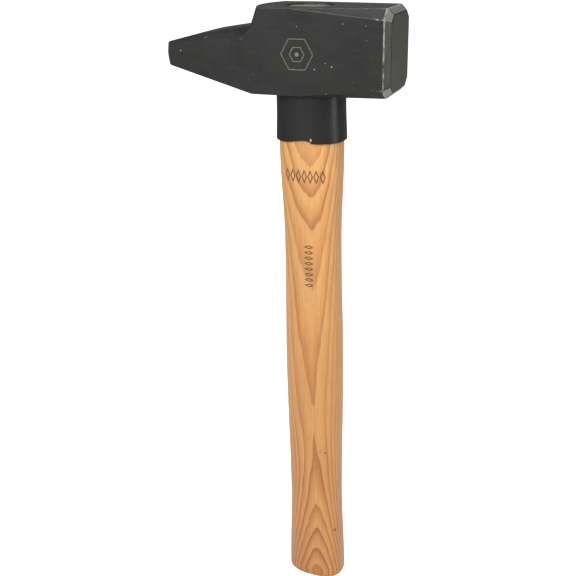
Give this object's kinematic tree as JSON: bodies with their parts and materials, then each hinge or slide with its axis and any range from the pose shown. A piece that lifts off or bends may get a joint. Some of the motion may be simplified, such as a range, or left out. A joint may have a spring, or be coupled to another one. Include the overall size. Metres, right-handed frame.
{
  "type": "blacksmith hammer",
  "caption": "Cross-peen blacksmith hammer with a black forged steel head, a guard sleeve below it and an oval hickory handle wedged into the eye.",
  "frame": {"origin": "centre of the flat face of the handle's butt", "axes": "+Z along the handle from the butt to the head, +X from the handle's centre line towards the striking face, +Y towards one cheek of the head"},
  "size_m": [0.1419, 0.0426, 0.416],
  "materials": {
    "head_steel": "forged steel in thin satin black paint, ground bright on the face bevel",
    "handle_hickory": "sanded and clear lacquered hickory",
    "sleeve_steel": "satin black enamel on steel",
    "wedge_wood": "end grain of a hardwood wedge",
    "wedge_steel": "bare sheared steel"
  },
  "bodies": {
    "root": {"hammer_head": "head_steel", "handle": "handle_hickory", "handle_sleeve": "sleeve_steel", "kerf_wedge": "wedge_wood", "cross_wedge_peen_side": "wedge_steel", "cross_wedge_face_side": "wedge_steel"}
  },
  "joints": []
}
